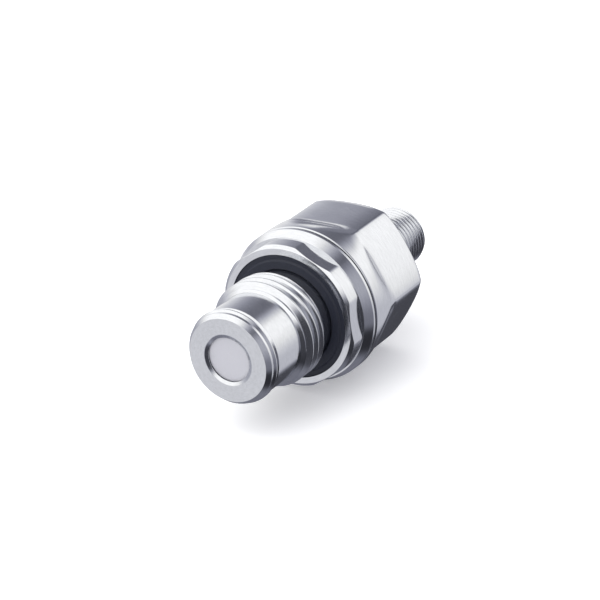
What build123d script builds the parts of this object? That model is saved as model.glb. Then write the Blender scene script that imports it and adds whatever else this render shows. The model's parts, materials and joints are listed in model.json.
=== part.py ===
from build123d import *
import math
import os

# A flush-fronted pressure transmitter, lying with its axis along Y, in millimetres.
# Y = 0 is the flange's seating face. The measuring tip points to -Y, the plug connector to +Y.
# Every radius is taken from the Y axis, and every "width across flats" is the full width.

# Clearances
FIT = 0.03              # radial clearance of pieces pressed or screwed together
SLIP = 0.1              # radial clearance of pieces that drop in

# Measuring tip, in front of the seating face
TIP_LENGTH = 20.4
NECK_DROP = 0.465       # the neck is lower than the root of the process thread
TIP_LAND_DROP = 0.1     # plain land behind the front bevel, lower than the neck
TIP_LAND_LENGTH = 0.55
TIP_BEVEL_DEPTH = 0.7
TIP_BEVEL_LENGTH = 0.9
TIP_RING_HEIGHT = 0.25  # raised ring behind the land, higher than the neck
TIP_RING_RISE = 0.45
TIP_RING_LENGTH = 0.25
TIP_RELIEF_DEPTH = 0.35
TIP_RELIEF_LENGTH = 0.6
TIP_RELIEF_RISE = 0.35
LIP_WIDTH = 2.5         # the lip in front of the cell, across its ring
LIP_THICKNESS = 0.45
DISH_FLARE = 0.7        # the shallow dish ahead of the diaphragm widens by this much
DISH_EDGE = 0.8
DISH_LAND = 0.1

# Process thread, ISO 228 G 1/2: 14 to the inch, drawn as a plain bar at its major diameter
THREAD_R = 20.955 / 2
THREAD_PITCH = 25.4 / 14
THREAD_DEPTH = 0.640327 * THREAD_PITCH
THREAD_FROM_SEAT = 3.7
THREAD_LENGTH = 5.1
THREAD_LEAD_IN = 1.25
RELIEF_DROP = 0.115     # the relief is lower than the root
RELIEF_CHAMFER = 0.8

# Hexagonal flange with its sealing groove
SEAL_LEAST_WIDTH = 2.95
SEAL_GROOVE_DEPTH = 1.5
SEAL_WALL = 1.3         # metal outside the groove, at the flats
SEAL_PROUD = 0.1        # the profile seal's inner land, ahead of the seat before it is tightened
SEAL_STEP = 0.3
SEAL_STEP_WIDTH = 0.9
FLANGE_ROUND = 0.55     # the round corners stand out past the flats by this much
FLANGE_EDGE = 0.3
FLANGE_LENGTH = 3.6
FLANGE_TURN = 26.0      # from the housing's flats to the flange's

# Flared collar behind the flange
COLLAR_STEP = 0.15
COLLAR_RISE = 1.95
COLLAR_LENGTH = 2.7
COLLAR_DROP = 0.05      # lower than the housing's barrel
COLLAR_REAR_BEVEL = 0.2
JOINT_DEPTH = 0.65      # fine line between collar and housing
JOINT_WIDTH = 0.3

# Spigot that carries the housing
SPIGOT_LENGTH = 4.0
SPIGOT_BEVEL = 0.4
BODY_RING_FROM_JOINT = 1.45
BODY_RING_WIDTH = 1.5
BODY_RING_DEPTH = 1.1

# Pressure cell, clamped from behind in the tip
NECK_WALL = 1.65
POCKET_STEP = 0.4       # the cell's pocket is narrower than the bore behind it
FRONT_SEAL_THICKNESS = 0.25
DIAPHRAGM_THICKNESS = 0.6
JOINT_RING_THICKNESS = 0.15
JOINT_RING_WIDTH = 2.0
CELL_THICKNESS = 4.5
THRUST_RING_THICKNESS = 1.2
LOCK_RING_THICKNESS = 3.0
LOCK_RING_WALL = 2.2
LOCK_SLOT_WIDTH = 1.4
LOCK_SLOT_DEPTH = 1.0
TERMINAL_COUNT = 4
TERMINAL_R = 0.25
TERMINAL_CIRCLE_R = 3.0
TERMINAL_LENGTH = 2.0
CELL_BOARD_GAP = 0.3    # between the cell board's rim and the lock ring's bore
CELL_BOARD_THICKNESS = 0.8
CELL_CHIP_SIZE = 2.8
CELL_CHIP_HEIGHT = 0.8
CELL_CHIP_DROP = 1.7    # the chip's centre, below the axis

# Ribbon from the cell board to the signal board
LEAD_WIDTH = 4.0
LEAD_THICKNESS = 0.25
LEAD_LOW_END = 0.6
LEAD_RING_GAP = 1.8     # from the ribbon's long run to the lock ring's bore
LEAD_HIGH_END = 6.0
LEAD_BEND_R = 0.8

# Housing: a round barrel that runs back into a hexagon
SHELL_WALL = 1.07       # least metal round the bore, at the flats
SHELL_ROUND = 1.65      # the barrel stands out past the flats by this much
SHELL_CORNER_DROP = 0.15
SHELL_FRONT_ROUND = 0.6
SHELL_REAR_ROUND = 1.5
FLAT_LENGTH = 10.6      # full-depth part of a flat, measured from the rear face
FLAT_RUN_OUT_R = 4.5    # curve that lifts the flat forward to the barrel
FLAT_RUN_OUT_ANGLE = 28.0
BARREL_EASE = 1.0
REAR_WALL = 2.6
REAR_BORE_R = 6.93

# Board holder and boards
HOLDER_WALL = 1.1
HOLDER_LEDGE = 0.9
BOARD_FRONT_GAP = 1.0
BOARD_SPACING = 5.0
BOARD_REAR_GAP = 2.4
BOARD_THICKNESS = 1.0

# Pieces on the signal board, with sizes and places across the axis as (x, z)
PROCESSOR_SIZE = 6.0
PROCESSOR_HEIGHT = 1.0
PROCESSOR_PLACE = (3.0, 1.0)
RESONATOR_SIZE = (2.5, 3.2)
RESONATOR_HEIGHT = 0.8
RESONATOR_PLACE = (2.5, -5.2)
CAPACITOR_SIZE = (1.2, 2.0)
CAPACITOR_HEIGHT = 0.9
CAPACITOR_PLACES = [(-3.4, -3.0), (-1.2, -3.0), (1.0, -3.0), (3.2, -3.0)]
HEADER_SIZE = (2.4, 9.0)
HEADER_HEIGHT = 2.4
HEADER_X = -6.0
HEADER_PIN_COUNT = 5
HEADER_PIN_PITCH = 1.6
HEADER_PIN_R = 0.3
HEADER_PIN_END_GAP = 0.8

# Pieces on the output board
DRIVER_SIZE = (5.0, 4.0)
DRIVER_HEIGHT = 1.2
DRIVER_PLACE = (4.0, 3.8)
CHOKE_R = 2.0
CHOKE_HEIGHT = 2.4
CHOKE_PLACE = (3.5, -5.0)
DIODE_SIZE = (1.6, 2.8)
DIODE_HEIGHT = 1.0
DIODE_PLACES = [(-6.6, -2.5), (-6.6, 2.5), (6.6, 0.0)]

# Connector sleeve, M12x1, drawn as a plain bar at its major diameter
SLEEVE_THREAD_R = 6.0
SLEEVE_THREAD_LENGTH = 15.9
SLEEVE_END_BEVEL = 0.5
SLEEVE_RELIEF_R = 5.35
SLEEVE_RELIEF_LENGTH = 0.8
SLEEVE_STEP = 0.7       # plain shank that shows behind the housing
SLEEVE_BORE_R = 4.45
SLEEVE_COLLAR_R = 8.4
SLEEVE_COLLAR_LENGTH = 1.5
SLEEVE_SEAT_R = 6.4
SLEEVE_SEAT_DEPTH = 1.4
SLEEVE_RING_FROM_WALL = 0.8
SLEEVE_RING_WIDTH = 1.2
SLEEVE_RING_DEPTH = 0.9

# Contact carrier and contacts, M12 A coding, four poles
SOCKET_DEPTH = 9.0
CARRIER_TAIL_R = 3.9
CARRIER_TAIL_LENGTH = 1.0
CARRIER_RING_FROM_FACE = 4.5
CARRIER_RING_WIDTH = 1.2
CARRIER_RING_DEPTH = 0.9
KEY_WIDTH = 1.1
KEY_HEIGHT = 0.9
KEY_SETBACK = 1.2
CONTACT_COUNT = 4
CONTACT_R = 0.5
CONTACT_CIRCLE_R = 2.5
CONTACT_SETBACK = 1.2
CONTACT_NOSE = 0.3
TAIL_R = 0.35
TAIL_IN_CARRIER = 3.0

# Radii worked out from the sizes above
THREAD_ROOT_R = THREAD_R - THREAD_DEPTH
NECK_R = THREAD_ROOT_R - NECK_DROP
RELIEF_R = THREAD_ROOT_R - RELIEF_DROP
TIP_LAND_R = NECK_R - TIP_LAND_DROP
TIP_FACE_R = TIP_LAND_R - TIP_BEVEL_DEPTH
TIP_RING_R = NECK_R + TIP_RING_HEIGHT
TIP_RELIEF_R = NECK_R - TIP_RELIEF_DEPTH
FITTING_BORE_R = NECK_R - NECK_WALL
CELL_POCKET_R = FITTING_BORE_R - POCKET_STEP
CELL_R = CELL_POCKET_R - SLIP
LIP_BORE_R = CELL_POCKET_R - LIP_WIDTH
DISH_R = LIP_BORE_R + DISH_FLARE
LOCK_RING_INNER_R = FITTING_BORE_R - LOCK_RING_WALL
LEAD_RUN_HEIGHT = LOCK_RING_INNER_R - LEAD_RING_GAP
CELL_BOARD_R = LOCK_RING_INNER_R - CELL_BOARD_GAP
WRENCH_SIZE = math.ceil(2 * (RELIEF_R + SEAL_LEAST_WIDTH + SEAL_WALL))   # flange and housing
SEAL_GROOVE_R = WRENCH_SIZE / 2 - SEAL_WALL
FLANGE_R = WRENCH_SIZE / 2 + FLANGE_ROUND
SHELL_R = WRENCH_SIZE / 2 + SHELL_ROUND
SHELL_CORNER_R = SHELL_R - SHELL_CORNER_DROP
SHELL_BORE_R = WRENCH_SIZE / 2 - SHELL_WALL
SPIGOT_R = SHELL_BORE_R - FIT
COLLAR_FRONT_R = FLANGE_R + COLLAR_STEP
COLLAR_R = SHELL_R - COLLAR_DROP
JOINT_R = COLLAR_R - JOINT_DEPTH
HOLDER_R = SHELL_BORE_R - SLIP
HOLDER_BORE_R = HOLDER_R - HOLDER_WALL
LEDGE_R = HOLDER_BORE_R - HOLDER_LEDGE
BOARD_R = HOLDER_BORE_R - SLIP
SLEEVE_SHANK_R = REAR_BORE_R - FIT
CARRIER_R = SLEEVE_BORE_R - FIT

# Stations along Y, worked out from the sizes above
TIP_Y = -TIP_LENGTH
LIP_Y = TIP_Y + LIP_THICKNESS
DIAPHRAGM_Y = LIP_Y + FRONT_SEAL_THICKNESS
JOINT_RING_Y = DIAPHRAGM_Y + DIAPHRAGM_THICKNESS
CELL_Y = JOINT_RING_Y + JOINT_RING_THICKNESS
CELL_BACK_Y = CELL_Y + CELL_THICKNESS
LOCK_RING_Y = CELL_BACK_Y + THRUST_RING_THICKNESS
LOCK_BACK_Y = LOCK_RING_Y + LOCK_RING_THICKNESS
CELL_BOARD_Y = CELL_BACK_Y + TERMINAL_LENGTH
CELL_BOARD_BACK_Y = CELL_BOARD_Y + CELL_BOARD_THICKNESS
THREAD_END_Y = -THREAD_FROM_SEAT
THREAD_START_Y = THREAD_END_Y - THREAD_LENGTH
COLLAR_Y = FLANGE_LENGTH
COLLAR_BACK_Y = COLLAR_Y + COLLAR_LENGTH
SHELL_Y = COLLAR_BACK_Y + JOINT_WIDTH
SPIGOT_END_Y = SHELL_Y + SPIGOT_LENGTH
SIGNAL_BOARD_Y = SPIGOT_END_Y + BOARD_FRONT_GAP
LEDGE_Y = SIGNAL_BOARD_Y + BOARD_THICKNESS
OUTPUT_BOARD_Y = LEDGE_Y + BOARD_SPACING
OUTPUT_BACK_Y = OUTPUT_BOARD_Y + BOARD_THICKNESS
SLEEVE_Y = OUTPUT_BACK_Y + BOARD_REAR_GAP
WALL_Y = SLEEVE_Y + SLEEVE_COLLAR_LENGTH
SHELL_BACK_Y = WALL_Y + REAR_WALL
SHANK_END_Y = SHELL_BACK_Y + SLEEVE_STEP
SLEEVE_THREAD_Y = SHANK_END_Y + SLEEVE_RELIEF_LENGTH
SLEEVE_END_Y = SLEEVE_THREAD_Y + SLEEVE_THREAD_LENGTH
CARRIER_FACE_Y = SLEEVE_END_Y - SOCKET_DEPTH
CARRIER_TAIL_Y = SLEEVE_Y - CARRIER_TAIL_LENGTH


def turned(points):
    """Solid turned about the Y axis from a closed outline of (radius, y) corners."""
    return revolve(make_face(Polyline(*points, close=True)), axis=Axis.Y)


def ring(inner_r, outer_r, start_y, length):
    """Plain ring about the Y axis."""
    return turned([(inner_r, start_y), (outer_r, start_y),
                   (outer_r, start_y + length), (inner_r, start_y + length)])


def disc(radius, start_y, length, x=0.0, z=0.0):
    """Round bar along Y, beside the axis by x and z."""
    return Pos(x, start_y + length / 2, z) * Rot(90, 0, 0) * Cylinder(radius, length)


def block(size_x, size_z, start_y, height, x=0.0, z=0.0):
    """Square-edged block that stands up from start_y along Y."""
    return Pos(x, start_y + height / 2, z) * Box(size_x, height, size_z)


def around(count, radius, first_angle=0.0):
    """Places on a circle about the Y axis, as (x, z), counted from the top."""
    turns = [math.radians(first_angle + 360 * index / count) for index in range(count)]
    return [(radius * math.sin(turn), radius * math.cos(turn)) for turn in turns]


def circle_edges(part, radius, y):
    """Full circles of one radius in the plane y."""
    found = part.edges().filter_by(GeomType.CIRCLE)
    return [edge for edge in found
            if abs(edge.radius - radius) < 1e-4 and abs(edge.arc_center.Y - y) < 1e-4]


def o_ring(groove_r, wall_r, start_y, width):
    """Round-section ring, held between the groove's floor and the wall around it."""
    section_r = (wall_r - groove_r) / 2 - FIT / 2
    middle_r = (wall_r + groove_r) / 2
    section = Pos(middle_r, start_y + width / 2) * Circle(section_r)
    return revolve(section, axis=Axis.Y)


def groove(outer_r, depth, start_y, width):
    """Cutter for a square groove in a round outside."""
    return ring(outer_r - depth, outer_r + 1.0, start_y, width)


def flat_cutters(across_flats, outer_r, start_y, end_y, first_angle):
    """Six slabs that leave a hexagon of plain flats."""
    apothem = across_flats / 2
    depth = 2 * (outer_r - apothem) + 1.0
    slab = Pos(0, (start_y + end_y) / 2, apothem + depth / 2)
    slab = slab * Box(2 * outer_r, end_y - start_y, depth)
    return [Rot(0, first_angle + 60 * index, 0) * slab for index in range(6)]


def run_out_cutters():
    """Six cutters for the housing's flats, each lifting forward in a soft curve."""
    apothem = WRENCH_SIZE / 2
    top = SHELL_R + 2.0
    flat_end = SHELL_BACK_Y - FLAT_LENGTH
    rise = math.radians(FLAT_RUN_OUT_ANGLE)
    arc_y = flat_end - FLAT_RUN_OUT_R * math.sin(rise)
    arc_z = apothem + FLAT_RUN_OUT_R * (1 - math.cos(rise))
    lift_y = arc_y - (top - arc_z) / math.tan(rise)
    back_y = SHELL_BACK_Y + 1.0
    outline = Curve() + [
        Line((back_y, apothem), (flat_end, apothem)),
        TangentArc((flat_end, apothem), (arc_y, arc_z), tangent=(-1, 0)),
        Line((arc_y, arc_z), (lift_y, top)),
        Line((lift_y, top), (back_y, top)),
        Line((back_y, top), (back_y, apothem)),
    ]
    side = Plane(origin=(-SHELL_R, 0, 0), x_dir=(0, 1, 0), z_dir=(1, 0, 0))
    cutter = extrude(side * make_face(outline), 2 * SHELL_R)
    return [Rot(0, 60 * index, 0) * cutter for index in range(6)]


# Metal body

def make_process_fitting():
    land_y = TIP_Y + TIP_BEVEL_LENGTH
    ring_y = land_y + TIP_LAND_LENGTH
    crest_y = ring_y + TIP_RING_RISE
    relief_y = crest_y + TIP_RING_LENGTH
    rise_y = relief_y + TIP_RELIEF_LENGTH
    body = turned([
        (0, TIP_Y), (TIP_FACE_R, TIP_Y), (TIP_LAND_R, land_y), (TIP_LAND_R, ring_y),
        (TIP_RING_R, crest_y), (TIP_RING_R, relief_y), (TIP_RELIEF_R, relief_y),
        (TIP_RELIEF_R, rise_y), (NECK_R, rise_y + TIP_RELIEF_RISE),
        (NECK_R, THREAD_START_Y - THREAD_LEAD_IN), (THREAD_R, THREAD_START_Y),
        (THREAD_R, THREAD_END_Y), (RELIEF_R, THREAD_END_Y + RELIEF_CHAMFER),
        (RELIEF_R, SEAL_GROOVE_DEPTH), (SEAL_GROOVE_R, SEAL_GROOVE_DEPTH), (SEAL_GROOVE_R, 0),
        (FLANGE_R - FLANGE_EDGE, 0), (FLANGE_R, FLANGE_EDGE), (FLANGE_R, FLANGE_LENGTH),
        (0, FLANGE_LENGTH)])
    for cutter in flat_cutters(WRENCH_SIZE, FLANGE_R, -1.0, FLANGE_LENGTH + 1.0, FLANGE_TURN):
        body -= cutter
    body += turned([
        (0, COLLAR_Y), (COLLAR_FRONT_R, COLLAR_Y), (COLLAR_R, COLLAR_Y + COLLAR_RISE),
        (COLLAR_R, COLLAR_BACK_Y - COLLAR_REAR_BEVEL), (COLLAR_R - COLLAR_REAR_BEVEL, COLLAR_BACK_Y),
        (JOINT_R, COLLAR_BACK_Y), (JOINT_R, SHELL_Y), (SPIGOT_R, SHELL_Y),
        (SPIGOT_R, SPIGOT_END_Y - SPIGOT_BEVEL), (SPIGOT_R - SPIGOT_BEVEL, SPIGOT_END_Y),
        (0, SPIGOT_END_Y)])
    body -= groove(SPIGOT_R, BODY_RING_DEPTH, SHELL_Y + BODY_RING_FROM_JOINT, BODY_RING_WIDTH)
    body -= disc(CELL_POCKET_R, LIP_Y, LOCK_RING_Y - LIP_Y)
    body -= disc(FITTING_BORE_R, LOCK_RING_Y, SPIGOT_END_Y - LOCK_RING_Y)
    body -= turned([(0, TIP_Y), (DISH_R, TIP_Y), (LIP_BORE_R, LIP_Y - DISH_LAND),
                    (LIP_BORE_R, LIP_Y), (0, LIP_Y)])
    return fillet(circle_edges(body, DISH_R, TIP_Y), DISH_EDGE)


def make_housing_shell():
    flat_end_y = SHELL_BACK_Y - FLAT_LENGTH
    ease_y = flat_end_y - BARREL_EASE
    shell = turned([
        (SHELL_BORE_R, SHELL_Y), (SHELL_R, SHELL_Y), (SHELL_R, ease_y), (SHELL_CORNER_R, flat_end_y),
        (SHELL_CORNER_R, SHELL_BACK_Y), (REAR_BORE_R, SHELL_BACK_Y), (REAR_BORE_R, WALL_Y),
        (SHELL_BORE_R, WALL_Y)])
    shell = fillet(circle_edges(shell, SHELL_R, SHELL_Y), SHELL_FRONT_ROUND)
    shell = fillet(circle_edges(shell, SHELL_CORNER_R, SHELL_BACK_Y), SHELL_REAR_ROUND)
    for cutter in run_out_cutters():
        shell -= cutter
    return shell


def make_connector_sleeve():
    inner_y = SLEEVE_Y + SLEEVE_SEAT_DEPTH
    sleeve = turned([
        (SLEEVE_SEAT_R, SLEEVE_Y), (SLEEVE_COLLAR_R, SLEEVE_Y), (SLEEVE_COLLAR_R, WALL_Y),
        (SLEEVE_SHANK_R, WALL_Y), (SLEEVE_SHANK_R, SHANK_END_Y), (SLEEVE_RELIEF_R, SHANK_END_Y),
        (SLEEVE_RELIEF_R, SLEEVE_THREAD_Y), (SLEEVE_THREAD_R, SLEEVE_THREAD_Y),
        (SLEEVE_THREAD_R, SLEEVE_END_Y - SLEEVE_END_BEVEL),
        (SLEEVE_THREAD_R - SLEEVE_END_BEVEL, SLEEVE_END_Y), (SLEEVE_BORE_R, SLEEVE_END_Y),
        (SLEEVE_BORE_R, inner_y), (SLEEVE_SEAT_R, inner_y)])
    return sleeve - groove(SLEEVE_SHANK_R, SLEEVE_RING_DEPTH,
                           WALL_Y + SLEEVE_RING_FROM_WALL, SLEEVE_RING_WIDTH)


# Seals

def make_thread_seal():
    inner_r = RELIEF_R + FIT
    outer_r = SEAL_GROOVE_R - FIT
    step_r = outer_r - SEAL_STEP_WIDTH
    step_y = SEAL_STEP - SEAL_PROUD
    return turned([
        (inner_r, step_y), (inner_r + SEAL_STEP, -SEAL_PROUD), (step_r - SEAL_STEP, -SEAL_PROUD),
        (step_r, step_y), (outer_r, step_y), (outer_r, SEAL_GROOVE_DEPTH), (inner_r, SEAL_GROOVE_DEPTH)])


def make_housing_o_ring():
    return o_ring(SPIGOT_R - BODY_RING_DEPTH, SHELL_BORE_R,
                  SHELL_Y + BODY_RING_FROM_JOINT, BODY_RING_WIDTH)


def make_connector_o_ring():
    return o_ring(SLEEVE_SHANK_R - SLEEVE_RING_DEPTH, REAR_BORE_R,
                  WALL_Y + SLEEVE_RING_FROM_WALL, SLEEVE_RING_WIDTH)


def make_carrier_o_ring():
    return o_ring(CARRIER_R - CARRIER_RING_DEPTH, SLEEVE_BORE_R,
                  CARRIER_FACE_Y - CARRIER_RING_FROM_FACE, CARRIER_RING_WIDTH)


# Pressure cell

def make_cell_terminals():
    pins = [disc(TERMINAL_R, CELL_BACK_Y, TERMINAL_LENGTH, x, z)
            for x, z in around(TERMINAL_COUNT, TERMINAL_CIRCLE_R, 45)]
    return Compound(children=pins)


def make_cell_lock_ring():
    lock = ring(LOCK_RING_INNER_R, FITTING_BORE_R - FIT, LOCK_RING_Y, LOCK_RING_THICKNESS)
    slot = block(4 * FITTING_BORE_R, LOCK_SLOT_WIDTH, LOCK_BACK_Y - LOCK_SLOT_DEPTH, LOCK_SLOT_DEPTH)
    return lock - slot


def make_flex_lead():
    low_y = CELL_BOARD_BACK_Y + LEAD_THICKNESS / 2
    high_y = SIGNAL_BOARD_Y - LEAD_THICKNESS / 2
    route = FilletPolyline(
        (0, low_y, LEAD_LOW_END), (0, low_y, LEAD_RUN_HEIGHT),
        (0, high_y, LEAD_RUN_HEIGHT), (0, high_y, LEAD_HIGH_END), radius=LEAD_BEND_R)
    section = Plane(origin=(0, low_y, LEAD_LOW_END), x_dir=(1, 0, 0), z_dir=(0, 0, 1))
    return sweep(section * Rectangle(LEAD_WIDTH, LEAD_THICKNESS), path=route)


# Boards and their holder

def make_board_holder():
    holder = ring(HOLDER_BORE_R, HOLDER_R, SPIGOT_END_Y, WALL_Y - SPIGOT_END_Y)
    return holder + ring(LEDGE_R, HOLDER_BORE_R, LEDGE_Y, BOARD_SPACING)


def header_pins(radius):
    """Row of pins that joins the boards, or the holes for it at a larger radius."""
    middle = (HEADER_PIN_COUNT - 1) / 2
    heights = [(index - middle) * HEADER_PIN_PITCH for index in range(HEADER_PIN_COUNT)]
    length = BOARD_SPACING - HEADER_PIN_END_GAP
    return [disc(radius, LEDGE_Y, length, HEADER_X, z) for z in heights]


def make_board_header():
    header = block(*HEADER_SIZE, LEDGE_Y, HEADER_HEIGHT, x=HEADER_X)
    for hole in header_pins(HEADER_PIN_R + FIT):
        header -= hole
    return header


def make_board_socket():
    socket = block(*HEADER_SIZE, LEDGE_Y + HEADER_HEIGHT, BOARD_SPACING - HEADER_HEIGHT, x=HEADER_X)
    for hole in header_pins(HEADER_PIN_R + FIT):
        socket -= hole
    return socket


def make_header_pins():
    return Compound(children=header_pins(HEADER_PIN_R))


def make_signal_capacitors():
    start_y = SIGNAL_BOARD_Y - CAPACITOR_HEIGHT
    chips = [block(*CAPACITOR_SIZE, start_y, CAPACITOR_HEIGHT, x, z) for x, z in CAPACITOR_PLACES]
    return Compound(children=chips)


def make_surge_diodes():
    diodes = [block(*DIODE_SIZE, OUTPUT_BACK_Y, DIODE_HEIGHT, x, z) for x, z in DIODE_PLACES]
    return Compound(children=diodes)


# Plug connector

def contact_places():
    return around(CONTACT_COUNT, CONTACT_CIRCLE_R, 45)


def make_contact_carrier():
    collar_end_y = SLEEVE_Y + SLEEVE_SEAT_DEPTH
    collar_r = SLEEVE_SEAT_R - FIT
    carrier = turned([
        (0, CARRIER_TAIL_Y), (CARRIER_TAIL_R, CARRIER_TAIL_Y), (CARRIER_TAIL_R, SLEEVE_Y),
        (collar_r, SLEEVE_Y), (collar_r, collar_end_y), (CARRIER_R, collar_end_y),
        (CARRIER_R, CARRIER_FACE_Y), (0, CARRIER_FACE_Y)])
    carrier -= groove(CARRIER_R, CARRIER_RING_DEPTH,
                      CARRIER_FACE_Y - CARRIER_RING_FROM_FACE, CARRIER_RING_WIDTH)
    key_length = SOCKET_DEPTH - KEY_SETBACK
    key = block(KEY_WIDTH, 2 * KEY_HEIGHT, CARRIER_FACE_Y, key_length, z=CARRIER_R)
    carrier += key & disc(CARRIER_R, CARRIER_FACE_Y, key_length)
    split_y = CARRIER_TAIL_Y + TAIL_IN_CARRIER
    for x, z in contact_places():
        carrier -= disc(TAIL_R + FIT, CARRIER_TAIL_Y, TAIL_IN_CARRIER, x, z)
        carrier -= disc(CONTACT_R + FIT, split_y, CARRIER_FACE_Y - split_y, x, z)
    return carrier


def make_contact_pin(x, z):
    split_y = CARRIER_TAIL_Y + TAIL_IN_CARRIER
    end_y = SLEEVE_END_Y - CONTACT_SETBACK
    pin = turned([
        (0, OUTPUT_BACK_Y), (TAIL_R, OUTPUT_BACK_Y), (TAIL_R, split_y), (CONTACT_R, split_y),
        (CONTACT_R, end_y - CONTACT_NOSE), (CONTACT_R - CONTACT_NOSE, end_y), (0, end_y)])
    return Pos(x, 0, z) * pin


def make_parts():
    parts = {
        "process_fitting": make_process_fitting(),
        "thread_seal": make_thread_seal(),
        "diaphragm_seal": ring(LIP_BORE_R, CELL_POCKET_R - FIT, LIP_Y, FRONT_SEAL_THICKNESS),
        "measuring_diaphragm": disc(CELL_R, DIAPHRAGM_Y, DIAPHRAGM_THICKNESS),
        "cell_joint_ring": ring(CELL_R - JOINT_RING_WIDTH, CELL_R, JOINT_RING_Y, JOINT_RING_THICKNESS),
        "cell_body": disc(CELL_R, CELL_Y, CELL_THICKNESS),
        "cell_terminals": make_cell_terminals(),
        "thrust_ring": ring(LOCK_RING_INNER_R, CELL_R, CELL_BACK_Y, THRUST_RING_THICKNESS),
        "cell_lock_ring": make_cell_lock_ring(),
        "cell_board": disc(CELL_BOARD_R, CELL_BOARD_Y, CELL_BOARD_THICKNESS),
        "cell_chip": block(CELL_CHIP_SIZE, CELL_CHIP_SIZE, CELL_BOARD_BACK_Y, CELL_CHIP_HEIGHT,
                           z=-CELL_CHIP_DROP),
        "flex_lead": make_flex_lead(),
        "housing_shell": make_housing_shell(),
        "housing_o_ring": make_housing_o_ring(),
        "board_holder": make_board_holder(),
        "signal_board": disc(BOARD_R, SIGNAL_BOARD_Y, BOARD_THICKNESS),
        "signal_processor": block(PROCESSOR_SIZE, PROCESSOR_SIZE, LEDGE_Y, PROCESSOR_HEIGHT,
                                  *PROCESSOR_PLACE),
        "signal_resonator": block(*RESONATOR_SIZE, LEDGE_Y, RESONATOR_HEIGHT, *RESONATOR_PLACE),
        "signal_capacitors": make_signal_capacitors(),
        "board_header": make_board_header(),
        "board_socket": make_board_socket(),
        "header_pins": make_header_pins(),
        "output_board": disc(BOARD_R, OUTPUT_BOARD_Y, BOARD_THICKNESS),
        "output_driver": block(*DRIVER_SIZE, OUTPUT_BOARD_Y - DRIVER_HEIGHT, DRIVER_HEIGHT,
                               *DRIVER_PLACE),
        "output_choke": disc(CHOKE_R, OUTPUT_BOARD_Y - CHOKE_HEIGHT, CHOKE_HEIGHT, *CHOKE_PLACE),
        "surge_diodes": make_surge_diodes(),
        "connector_sleeve": make_connector_sleeve(),
        "connector_o_ring": make_connector_o_ring(),
        "contact_carrier": make_contact_carrier(),
        "carrier_o_ring": make_carrier_o_ring(),
    }
    for number, (x, z) in enumerate(contact_places(), start=1):
        parts[f"contact_pin_{number}"] = make_contact_pin(x, z)
    return parts


os.makedirs("parts", exist_ok=True)
for name, part in make_parts().items():
    export_step(part, f"parts/{name}.step")
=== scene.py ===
import json
import math
from collections import namedtuple

import bmesh
import bpy
import numpy as np
from mathutils import Matrix, Vector


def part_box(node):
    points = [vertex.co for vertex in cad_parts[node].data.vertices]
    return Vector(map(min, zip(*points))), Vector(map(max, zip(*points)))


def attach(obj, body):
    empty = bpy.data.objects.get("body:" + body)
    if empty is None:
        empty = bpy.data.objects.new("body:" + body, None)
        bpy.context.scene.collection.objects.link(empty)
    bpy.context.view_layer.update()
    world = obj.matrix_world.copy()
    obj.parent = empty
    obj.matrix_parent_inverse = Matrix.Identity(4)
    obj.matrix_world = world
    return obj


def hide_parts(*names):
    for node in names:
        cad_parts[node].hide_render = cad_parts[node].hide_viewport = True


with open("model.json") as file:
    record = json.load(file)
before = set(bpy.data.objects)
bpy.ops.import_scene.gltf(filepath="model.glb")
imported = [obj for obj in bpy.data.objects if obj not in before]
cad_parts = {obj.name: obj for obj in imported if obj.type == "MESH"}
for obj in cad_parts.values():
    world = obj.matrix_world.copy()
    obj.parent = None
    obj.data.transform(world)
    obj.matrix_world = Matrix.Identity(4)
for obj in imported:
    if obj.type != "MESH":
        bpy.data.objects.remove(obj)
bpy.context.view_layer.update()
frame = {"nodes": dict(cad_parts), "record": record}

# Looks of a flush-fronted pressure transmitter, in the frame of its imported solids.
# Shapes are worked out in millimetres about the Y axis and turned into metres in grid_mesh().
# Y = 0 is the flange's seating face. The measuring tip points to -Y, the plug connector to +Y.
MM = 0.001


def low(node):
    """Lowest Y of a solid, in millimetres."""
    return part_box(node)[0].y / MM


def high(node):
    """Highest Y of a solid, in millimetres."""
    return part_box(node)[1].y / MM


def reach(node):
    """Largest radius of a round solid, in millimetres."""
    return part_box(node)[1].x / MM


# Sizes that every piece shares
WRENCH_SIZE = 27.0
FIT = 0.03              # radial clearance of pieces pressed or screwed together
EDGE = 0.05             # radius of an edge that was only deburred
CREASE = 0.04           # radius at the foot of a turned step
THIN_EDGE = 0.03        # radius of an edge beside a narrow land
FACET_EDGE = 0.02       # radius of an edge that meets the flats
TURNED_ROUND = 0.12     # radius of an edge that was rounded on purpose

# Process thread, G 1/2
THREAD_R = 20.955 / 2
THREAD_PITCH = 25.4 / 14
THREAD_DEPTH = 0.640327 * THREAD_PITCH
THREAD_FLAT = THREAD_PITCH / 6  # width of its crest and of its root
THREAD_FROM_SEAT = 3.7
THREAD_LENGTH = 5.1
THREAD_LEAD_IN = 1.25
THREAD_TURN = 144.0     # from the top to where its groove starts
THREAD_ROUND = 0.10     # how much its crests and roots are rounded
THREAD_EDGE = 0.06      # how much its ends are softened
RELIEF_DROP = 0.115     # the relief is lower than the root
RELIEF_CHAMFER = 0.8
THREAD_END_Y = -THREAD_FROM_SEAT
THREAD_START_Y = THREAD_END_Y - THREAD_LENGTH
THREAD_ROOT_R = THREAD_R - THREAD_DEPTH
RELIEF_R = THREAD_ROOT_R - RELIEF_DROP

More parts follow.
